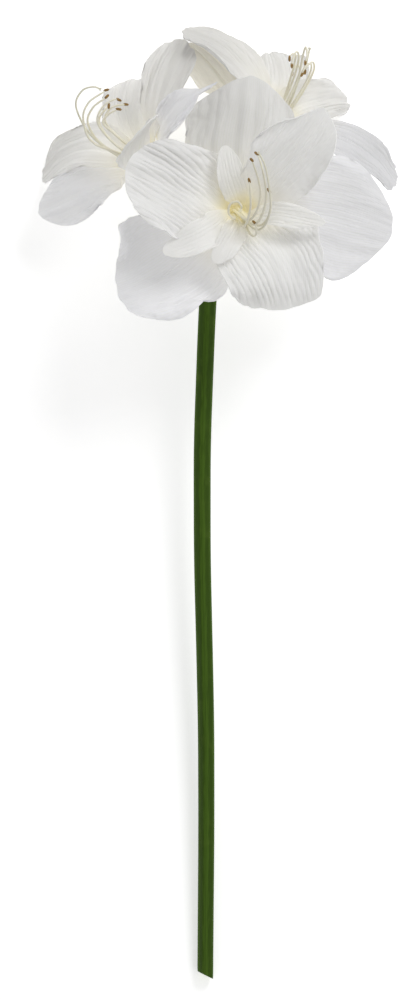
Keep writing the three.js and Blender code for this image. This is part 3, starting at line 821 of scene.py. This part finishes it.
PETALS["right"] = {
    "lower": dict(
        seat=0, ring="outer", midrib=[(67, 60, 62), (93, 55, 68), (114, 41, 60), (129, 23, 45)],
        left=[14, 13, 14], right=[14, 17, 12], cup=[0.2, 0.1], roll=60, round=0.1,
        tone="bluish", ribs=0.7, shade=0.72),
    "back_lower": dict(
        seat=60, ring="inner", midrib=[(60, 71, 42), (80, 78, 30), (90, 80, 16), (97, 80, 0.1)],
        left=[24, 19, 13], right=[11, 9, 5], cup=[0.3, 0.1], roll=40, shade=0.82, gold=0.4),
    "back_upper": dict(
        seat=120, ring="outer", midrib=[(44, 81, 40), (46, 99, 30), (44, 112, 17), (41, 118, 0.1)],
        left=[13, 14, 8], right=[18, 22, 9], cup=[0.2, 0], roll=-40, round=0.35, shade=0.87, gold=0.55),
    "upper": dict(
        seat=180, ring="inner", midrib=[(33, 82, 62), (21, 102, 72), (4, 118, 79), (-22, 129, 82)],
        left=[24, 23, 19], right=[31, 22, 15], cup=[0.4, 0.3], roll=-8, round=0.2, shade=0.73),
    "near_upper": dict(
        seat=240, ring="outer", midrib=[(22, 74, 72), (8, 92, 78), (-6, 109, 79), (-18, 121, 76)],
        left=[12, 13, 8], right=[9, 15, 13], cup=[0.3, 0.2], roll=95, round=0.2, ruffle=1,
        tone="beige", ribs=0.6, shade=1.04, glow=0.3),
    "near_lower": dict(
        seat=300, ring="inner", midrib=[(50, 62, 70), (55, 67, 76), (58, 68, 80), (58, 67, 83)],
        left=[6, 9, 7], right=[8, 10, 7], cup=[0.4, 0.2], ruffle=1, shade=0.9),
}
# The bluish and the beige tones are white petals with painted shade: a cool blue tint on the outer petals,
# and a beige one on a petal deep in shadow.
PETAL_TONES = {
    "white": (0.885, 0.878, 0.868, 1),
    "bluish": (0.872, 0.868, 0.905, 1),
    "cream": (0.9, 0.89, 0.86, 1),
    "warm": (0.885, 0.87, 0.845, 1),
    "beige": (0.88, 0.83, 0.72, 1),
}
PETAL_VEINS = 150.0
VEIN_WANDER = 6.0
RIB_HEIGHT = 0.75
FOLD_HEIGHT = {"outer": 5.5, "inner": 5.5, "small": 0.6}
CRINKLE_HEIGHT = {"outer": 4.5, "inner": 4.5, "small": 1.2}
PETAL_THROAT = (0.9, 0.83, 0.6, 1)
PETAL_CREAM = (0.9, 0.87, 0.78, 1)
PETAL_KEEL_GREEN = (0.72, 0.75, 0.56, 1)


def petal_material(name, tone):
    material, tree, shader = new_material("Petal " + name)
    along, across, back = attribute(tree, "along"), attribute(tree, "across"), attribute(tree, "back")
    edge = maths("ABSOLUTE", across)
    grain = grain_node(tree, 400, 3000)
    wander = times(grain["Mottle"], VEIN_WANDER)
    lines = maths("SINE", plus(times(across, PETAL_VEINS), wander))
    veins = ramp(lines, 0.2, 1.0)
    mottled = (tone[0] * 0.95, tone[1] * 0.95, tone[2] * 0.955, 1)
    colour = mix(ramp(grain["Mottle"], 0.3, 0.75, 0.0, 0.5), tone, mottled)
    colour = mix(ramp(along, 0.5, 0.12, 0.0, 0.9), colour, PETAL_CREAM)
    colour = mix(ramp(along, attribute(tree, "gold"), 0.06), colour, PETAL_THROAT)
    colour = mix(times(veins, 0.12), colour, PETAL_KEEL_GREEN)
    stripe = times(ramp(edge, 0.12, 0.0), ramp(along, 0.9, 0.1, 0.0, 0.55))
    colour = mix(times(stripe, back), colour, PETAL_KEEL_GREEN)
    # Painted light: each petal glows towards its base, as much as its glow number.
    feed_all(shader, glow(ramp(along, 0.8, 0.0, attribute(tree, "glow")), colour) | {
        # Painted shade: the colour is multiplied by the petal's shade number.
        "Base Color": mix(1.0, colour, attribute(tree, "shade"), "MULTIPLY"),
        "Roughness": ramp(grain["Cells"], 0.3, 0.7, 0.5, 0.62),
        "Subsurface Weight": 0.5,
        "Subsurface Radius": (0.006, 0.006, 0.0055),
        "Subsurface Scale": 1.0,
        "Specular IOR Level": 0.3})
    bump(shader, plus(times(veins, 0.6), grain["Cells"]), 0.12 * MM)
    return material


PETAL_FINISHES = {name: petal_material(name, tone) for name, tone in PETAL_TONES.items()}
seed = 0
for flower, petals in PETALS.items():
    for name, petal in petals.items():
        seed += 1
        petal = PETAL_DEFAULTS | petal
        cage = sheet_cage(name, FLOWERS[flower]["at"], petal)
        mesh = grown(SHEET_TREE, cage, {
            "Fineness": 3 if flower == "front" and petal["ring"] != "small" else 2,
            "Rib spacing": petal["spacing"] * MM,
            "Rib slant": petal["slant"] * MM,
            "Rib height": RIB_HEIGHT * MM * petal["ribs"],
            "Fold height": FOLD_HEIGHT[petal["ring"]] * MM,
            "Crinkle height": CRINKLE_HEIGHT[petal["ring"]] * MM,
            "Keel depth": petal["keel"] * MM,
            "Thickness": PETAL_THICKNESS * MM,
            "Seed": float(seed),
            "Material": PETAL_FINISHES[petal["tone"]]})
        for point in mesh.vertices:
            point.co.z = max(point.co.z, 0)
        node_name = flower + "_petal_" + name
        finished(node_name + "_skin", mesh, [], node_name)


# Stamens
# Six in each flower: a thin cream filament rooted in the throat that arches forward, with a
# short two-lobed anther balanced on its end, golden brown and dusted with pollen.
STAMEN_RING_RADIUS = 3.6
STAMEN_FIRST_SEAT = 30
STAMEN_SPACING = 60
STRAND_SIDES = 12
STRAND_STEPS = 60
STRAND_GRAIN = 300.0
UNRIPE_STAMEN = "front_stamen_5"
ANTHER_LENGTH = 4.4
ANTHER_RADIUS = 0.95
ANTHER_GROOVE = 0.34
ANTHER_BEND = 0.5
ANTHER_RINGS = 14
ANTHER_SIDES = 20
FILAMENT_CREAM = (0.88, 0.85, 0.72, 1)
FILAMENT_YELLOW = (0.85, 0.8, 0.55, 1)
FILAMENT_DARK = (0.66, 0.6, 0.36, 1)
ANTHER_BROWN = (0.12, 0.06, 0.02, 1)
ANTHER_GOLD = (0.42, 0.26, 0.08, 1)
POLLEN_GOLD = (0.55, 0.33, 0.08, 1)
POLLEN_PALE = (0.7, 0.48, 0.16, 1)
POLLEN_GRAIN = 0.09
POLLEN_SIZES = (0.6, 1.3)
POLLEN_PER_SQUARE_METRE = 4.0e6
FILAMENT_PROFILE = ([0, 0.35, 0.6, 0.95, 1], [1.1, 1.05, 0.85, 0.7, 0.3])
STAMENS = {
    "front": [
        [(25, -12, 109), (28, -15, 118), (30, -14, 126), (30, -9, 129), (28, -4, 129)],
        [(30, -7, 112), (36, -6, 126), (40, 2, 136), (40, 11, 141), (38.5, 18, 142)],
        [(28, -7, 122), (34, -1, 138), (37, 12, 150), (35, 27, 157), (32, 38, 159), (29, 43, 158)],
        [(24, -4, 121), (30, 1, 137), (33, 13, 147), (31, 25, 152), (28, 34, 153), (26, 39, 152)],
        [(15, -3, 108), (11, 1, 113), (12, 7, 117), (17, 9, 118), (20, 5, 116), (18, 1, 113)],
        [(20, -8, 112), (23, -7, 127), (26, 3, 137), (26, 15, 142), (25, 25, 143)],
    ],
    "left": [
        [(-60, 50, 68), (-71, 60, 72), (-76, 68, 76), (-71, 76, 78), (-63, 78, 79), (-59, 78, 79)],
        [(-64, 47, 66), (-75, 57, 70), (-80, 66, 74), (-78, 72, 77), (-74, 76, 78), (-72, 79, 78)],
        [(-66, 43, 68), (-81, 53, 74), (-88, 66, 80), (-84, 76, 84), (-76, 82, 86), (-73, 85, 86)],
        [(-64, 43, 77), (-85, 52, 84), (-91, 68, 91), (-87, 79, 94), (-77, 86, 95), (-73, 89, 95)],
        [(-63, 46, 82), (-74, 55, 88), (-81, 66, 93), (-77, 76, 96), (-69, 81, 97), (-64, 80, 97)],
        [(-60, 50, 80), (-70, 58, 85), (-77, 65, 88), (-73, 71, 90), (-67, 74, 91), (-64, 75, 91)],
    ],
    "right": [
        [(56, 77, 60), (66, 92, 68), (71, 103, 74), (70, 108, 77), (66, 105, 79), (64, 99, 79)],
        [(52, 78, 58), (58, 91, 63), (61, 101, 67), (60, 106, 70), (57, 104, 71), (55, 98, 70)],
        [(48, 78, 64), (53, 92, 71), (57, 106, 78), (58, 113, 81), (55, 113, 83), (53, 108, 83)],
        [(49, 80, 68), (56, 95, 76), (60, 109, 83), (59, 115, 87), (56, 110, 89), (55, 103, 89)],
        [(52, 80, 72), (60, 98, 81), (63, 112, 88), (65, 118, 91), (66, 112, 93), (64, 105, 93)],
        [(55, 77, 68), (65, 93, 76), (69, 103, 81), (68, 107, 84), (64, 103, 86), (62, 97, 86)],
    ],
}


def strand_guide(name, path, radii, until=1.0):
    """A line of points along a path, each with its own radius."""
    shares = [float(share) for share in np.linspace(0, until, STRAND_STEPS + 1)]
    points = [in_frame(path.place(share)) for share in shares]
    thickness = [float(np.interp(share / until, *radii)) * MM for share in shares]
    edges = [(i, i + 1) for i in range(STRAND_STEPS)]
    return placed(name, mesh_of(name, points, [], {"thickness": thickness, "along": shares}, edges))


def strand_tree():
    """Sweeps a slightly uneven round strand along a line of points."""
    tree, given, put_out = geometry_tree("Round strand", [
        ("Sides", "Int"), ("Unevenness", "Float"), ("Seed", "Float"), ("Material", "Material")])
    line = node(tree, "GeometryNodeMeshToCurve", {"Mesh": given["Geometry"]})
    profile = node(tree, "GeometryNodeCurvePrimitiveCircle", {"Resolution": given["Sides"], "Radius": 1.0})
    swept = node(tree, "GeometryNodeCurveToMesh",
                 {"Curve": line.outputs[0], "Profile Curve": profile.outputs[0],
                  "Scale": named(tree, "thickness"), "Fill Caps": True})
    place = node(tree, "GeometryNodeInputPosition").outputs[0]
    uneven = centred(drift(place, given["Seed"], STRAND_GRAIN, 2.0))
    lift = times(uneven, given["Unevenness"])
    normal = node(tree, "GeometryNodeInputNormal").outputs[0]
    shaped = moved(swept.outputs[0], scaled(normal, lift))
    put_out_solid(put_out, shaped, given["Material"])
    return tree


STRAND_TREE = strand_tree()


def pollen_tree():
    """Small grains of pollen strewn over a body. The body isn't part of the result."""
    tree, given, put_out = geometry_tree("Pollen dust", [
        ("Grain size", "Float"), ("Density", "Float"), ("Seed", "Int"), ("Material", "Material")])
    spots = node(tree, "GeometryNodeDistributePointsOnFaces",
                 {"Mesh": given["Geometry"], "Density": given["Density"], "Seed": given["Seed"]})
    grain = node(tree, "GeometryNodeMeshIcoSphere", {"Radius": given["Grain size"], "Subdivisions": 1})
    sizes = {2: POLLEN_SIZES[0], 3: POLLEN_SIZES[1], "Seed": given["Seed"]}
    size = node(tree, "FunctionNodeRandomValue", sizes, data_type="FLOAT")
    dust = node(tree, "GeometryNodeInstanceOnPoints",
                {"Points": spots.outputs[0], "Instance": grain.outputs[0], "Scale": size.outputs[1]})
    put_out_solid(put_out, dust.outputs[0], given["Material"])
    return tree


POLLEN_TREE = pollen_tree()


def filament_material():
    material, tree, shader = new_material("Cream filament")
    grain = grain_node(tree, 1500, 3500)
    along = attribute(tree, "along")
    colour = mix(ramp(along, 0.5, 0.0, 0.0, 0.6), FILAMENT_CREAM, FILAMENT_YELLOW)
    colour = mix(ramp(grain["Cells"], 0.4, 0.7, 0.0, 0.25), colour, FILAMENT_DARK)
    # Painted light: the filament glows near its base.
    feed_all(shader, glow(ramp(along, 0.45, 0.1), colour) | {
        "Base Color": colour,
        "Roughness": ramp(grain["Cells"], 0.3, 0.7, 0.4, 0.55),
        "Subsurface Weight": 0.2,
        "Subsurface Radius": (0.001, 0.001, 0.0007)})
    bump(shader, grain["Cells"], 0.08 * MM)
    return material


def anther_material():
    material, tree, shader = new_material("Brown anther")
    grain = grain_node(tree, 2000, 5000)
    colour = mix(ramp(grain["Cells"], 0.35, 0.65), ANTHER_BROWN, ANTHER_GOLD)
    feed_all(shader, {"Base Color": colour, "Roughness": ramp(grain["Mottle"], 0.3, 0.7, 0.7, 0.9)})
    bump(shader, grain["Cells"], 0.2 * MM)
    return material


def pollen_material():
    material, tree, shader = new_material("Golden pollen")
    grain = grain_node(tree, 2000, 2500)
    colour = mix(ramp(grain["Cells"], 0.35, 0.65), POLLEN_GOLD, POLLEN_PALE)
    feed_all(shader, {"Base Color": colour, "Roughness": 0.85})
    return material


def anther_mesh(name, centre, heading, face):
    """A short bean of two lobes side by side with a groove between them, bent a little."""
    sideways = heading.cross(face).normalized()
    face = sideways.cross(heading).normalized()
    points = []
    for ring in range(ANTHER_RINGS):
        t = 2 * (ring + 0.5) / ANTHER_RINGS - 1
        swell = math.sqrt(max(1 - abs(t) ** 2.6, 0.02))
        middle = centre + heading * (t * ANTHER_LENGTH / 2) + face * (ANTHER_BEND * (1 - t * t) - 0.3)
        for side in range(ANTHER_SIDES):
            angle = 2 * math.pi * side / ANTHER_SIDES
            lobes = 1 - ANTHER_GROOVE * abs(math.sin(angle)) ** 3
            reach = ANTHER_RADIUS * swell * lobes
            beyond = face * reach * 0.8 * math.sin(angle)
            points.append(in_frame(middle + sideways * reach * math.cos(angle) + beyond))
    points.append(in_frame(centre - heading * ANTHER_LENGTH / 2 - face * 0.3))
    points.append(in_frame(centre + heading * ANTHER_LENGTH / 2 - face * 0.3))
    return mesh_of(name, points, ring_faces(ANTHER_RINGS, ANTHER_SIDES))


def joined(name, meshes):
    """One mesh of several, with their materials."""
    whole = bmesh.new()
    materials = []
    for mesh in meshes:
        for material in mesh.materials:
            if material not in materials:
                materials.append(material)
        start = len(whole.faces)
        whole.from_mesh(mesh)
        whole.faces.ensure_lookup_table()
        for face in whole.faces[start:]:
            face.material_index = materials.index(mesh.materials[face.material_index])
    mesh = bpy.data.meshes.new(name)
    whole.to_mesh(mesh)
    whole.free()
    for material in materials:
        mesh.materials.append(material)
    return mesh


FILAMENT_FINISH, ANTHER_FINISH, POLLEN_FINISH = filament_material(), anther_material(), pollen_material()
turns = random.Random(7)
for flower, stamens in STAMENS.items():
    mouth = FLOWERS[flower]["at"]
    for number, points in enumerate(stamens):
        seat = STAMEN_FIRST_SEAT + STAMEN_SPACING * number
        root = mouth.point(seat, GAP - THROAT_DEPTH, STAMEN_RING_RADIUS)
        collar = mouth.point(seat, 0, STAMEN_RING_RADIUS * 0.9)
        path = SmoothPath([root, collar] + points)
        anther_share = 1 - 0.5 * ANTHER_LENGTH / path.length
        name = f"{flower}_stamen_{number + 1}"
        guide = strand_guide(name, path, FILAMENT_PROFILE, anther_share)
        filament = outwards(grown(STRAND_TREE, guide, {
            "Sides": STRAND_SIDES, "Unevenness": 0.12 * MM, "Seed": float(number),
            "Material": FILAMENT_FINISH}))
        tilt = Vector((turns.uniform(-1, 1), turns.uniform(-1, 1), turns.uniform(-0.5, 1)))
        heading = (path.direction(anther_share) + 0.5 * tilt).normalized()
        body = anther_mesh(name, path.place(anther_share), heading, Vector((0, 0, 1)))
        body = outwards(smoothed(body, 1))
        unripe = name == UNRIPE_STAMEN
        body.materials.append(FILAMENT_FINISH if unripe else ANTHER_FINISH)
        dust = grown(POLLEN_TREE, placed(name, body), {
            "Grain size": POLLEN_GRAIN * MM, "Density": 0.0 if unripe else POLLEN_PER_SQUARE_METRE,
            "Seed": number, "Material": POLLEN_FINISH})
        finished(name + "_thread", joined(name, [filament, body, dust]), [], name)


# Pistils
# One in the middle of each flower: a smooth cream style, longer than the stamens, that ends in
# three short blunt lobes.
STYLE_PROFILE = ([0, 1], (0.9, 0.65))
STIGMA_LENGTH = 2.6
STIGMA_PROFILE = ([0, 0.4, 0.85, 1], [0.4, 0.62, 0.66, 0.3])
STYLE_CREAM = (0.8, 0.78, 0.66, 1)
STYLE_DARK = (0.7, 0.68, 0.5, 1)
STYLES = {
    "front": [(29, -10, 116), (36, -8, 131), (40, 4, 146), (39, 18, 156), (36, 33, 163), (31, 43, 165)],
    "left": [(-66, 42, 72), (-86, 57, 80), (-96, 76, 88), (-92, 87, 92), (-84, 90, 93), (-78, 88, 92)],
    "right": [(53, 78, 63), (60, 95, 72), (65, 106, 78), (67, 113, 81), (68, 118, 82)],
}


def stigma_mesh(name, tip, heading, number):
    """One blunt lobe of the stigma, leaning out from the style's end."""
    across = heading.orthogonal().normalized()
    angle = 2 * math.pi * number / 3
    outward = across * math.cos(angle) + heading.cross(across) * math.sin(angle)
    bend = tip + heading * 0.4 + outward * 0.3
    end = tip + heading * 0.9 + outward * STIGMA_LENGTH * 0.45
    path = SmoothPath([tip - heading * 1.2, bend, end])
    return strand_guide(name, path, STIGMA_PROFILE)


def pistil_material():
    material, tree, shader = new_material("Cream style")
    grain = grain_node(tree, 1500, 3200)
    colour = mix(ramp(grain["Cells"], 0.35, 0.7, 0.0, 0.4), STYLE_CREAM, STYLE_DARK)
    feed_all(shader, {
        "Base Color": colour,
        "Roughness": ramp(grain["Cells"], 0.3, 0.7, 0.35, 0.5),
        "Subsurface Weight": 0.2,
        "Subsurface Radius": (0.001, 0.001, 0.0008)})
    bump(shader, grain["Cells"], 0.08 * MM)
    return material


PISTIL_FINISH = pistil_material()
for flower, points in STYLES.items():
    mouth = FLOWERS[flower]["at"]
    path = SmoothPath([mouth.point(0, GAP - THROAT_DEPTH, 0), mouth.mouth] + points)
    name = flower + "_pistil"
    given = {"Sides": STRAND_SIDES, "Unevenness": 0.08 * MM, "Seed": 3.0, "Material": PISTIL_FINISH}
    parts = [outwards(grown(STRAND_TREE, strand_guide(name, path, STYLE_PROFILE, 0.99), given))]
    for number in range(3):
        guide = stigma_mesh(name, path.place(0.985), path.direction(0.98), number)
        parts.append(outwards(grown(STRAND_TREE, guide, given)))
    finished(name + "_style", joined(name, parts), [], name)


# Floor, light and camera
# A plain pale surface, two large soft lights and an even glow from all round. The camera looks
# straight down from far away with a long lens, so that the flower shows without perspective.
FLOOR_SIZE = 12
FLOOR_GAP = 0.0003
FLOOR_GREY = (0.9, 0.9, 0.9, 1)
FLOOR_WHITE = (0.93, 0.93, 0.93, 1)
FLOOR_GLOW = 0.45
ROOM_GLOW = 0.48
PHOTO_HEIGHT = 1000
PHOTO_SCALE = 0.7
PHOTO_CENTRE = (209.5, 500)
PHOTO_KNUCKLE = (213, 215)
CAMERA_HEIGHT = 8
FLOWER_HEIGHT = 0.1
SENSOR = 36

floor_corners = [
    (x * FLOOR_SIZE / 2, y * FLOOR_SIZE / 2, -FLOOR_GAP)
    for x, y in ((-1, -1), (1, -1), (1, 1), (-1, 1))]
floor = placed("floor", mesh_of("floor", floor_corners, [(0, 1, 2, 3)]))
floor_paint, floor_tree, floor_shader = new_material("Pale matte floor")
floor_grain = speckle(object_place(floor_tree), 3, 3)
floor_colour = mix(floor_grain, FLOOR_GREY, FLOOR_WHITE)
feed_all(floor_shader, {
    "Base Color": floor_colour, "Roughness": 0.9, "Specular IOR Level": 0.1,
    "Emission Color": (1, 1, 1, 1), "Emission Strength": FLOOR_GLOW})
floor.data.materials.append(floor_paint)


def soft_light(name, place, target, size, power):
    lamp = bpy.data.lights.new(name, "AREA")
    lamp.shape = "DISK"
    lamp.size = size
    lamp.energy = power
    holder = placed(name, lamp)
    holder.location = place
    holder.rotation_euler = (Vector(target) - Vector(place)).to_track_quat("-Z", "Y").to_euler()


head = (0, 0.2, 0.1)
soft_light("key_light", place=(1.2, 1.8, 2.0), target=head, size=1.3, power=30)
soft_light("fill_light", place=(1.6, -1.0, 2.2), target=head, size=2.4, power=5)
world = bpy.data.worlds.new("Even glow")
world.use_nodes = True
feed_all(world.node_tree.nodes["Background"], {"Color": (1, 1, 1, 1), "Strength": ROOM_GLOW})
bpy.context.scene.world = world
bpy.context.scene.view_settings.view_transform = "Standard"

view_x = (PHOTO_CENTRE[0] - PHOTO_KNUCKLE[0]) * PHOTO_SCALE
view_y = (PHOTO_KNUCKLE[1] - PHOTO_CENTRE[1]) * PHOTO_SCALE
lens = bpy.data.cameras.new("camera")
lens.sensor_width = SENSOR
lens.lens = SENSOR * (CAMERA_HEIGHT - FLOWER_HEIGHT) / (PHOTO_HEIGHT * PHOTO_SCALE * MM)
lens.clip_end = 100
camera = placed("camera", lens)
camera.location = in_frame((view_x, view_y, CAMERA_HEIGHT / MM))
bpy.context.scene.camera = camera
